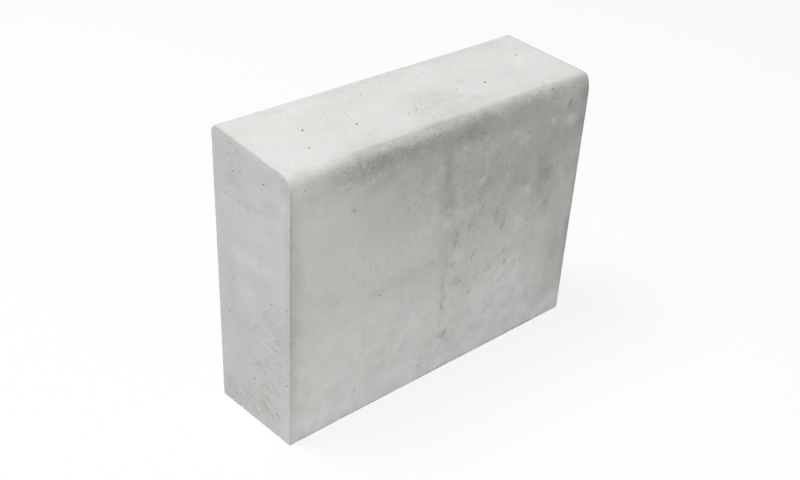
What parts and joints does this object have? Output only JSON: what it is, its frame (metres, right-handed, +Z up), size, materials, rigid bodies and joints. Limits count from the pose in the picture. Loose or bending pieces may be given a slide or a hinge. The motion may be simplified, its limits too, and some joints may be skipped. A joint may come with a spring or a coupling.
{
  "type": "kerb stone",
  "caption": "Upright block of plain concrete with a rounded top edge on its road side, set on end-to-end neighbours to border a road or path.",
  "frame": {"origin": "centre of the base at floor level, under the middle of the overall length and width", "axes": "+X along the kerb; +Y towards the back face, so the road face with the rounded edge looks along -Y; +Z up"},
  "size_m": [0.4096, 0.1197, 0.2994],
  "materials": {
    "cast_concrete": "pale grey concrete, smooth from the mould, with pinholes and faint water stains"
  },
  "bodies": {
    "root": {"kerb_stone": "cast_concrete"}
  },
  "joints": []
}
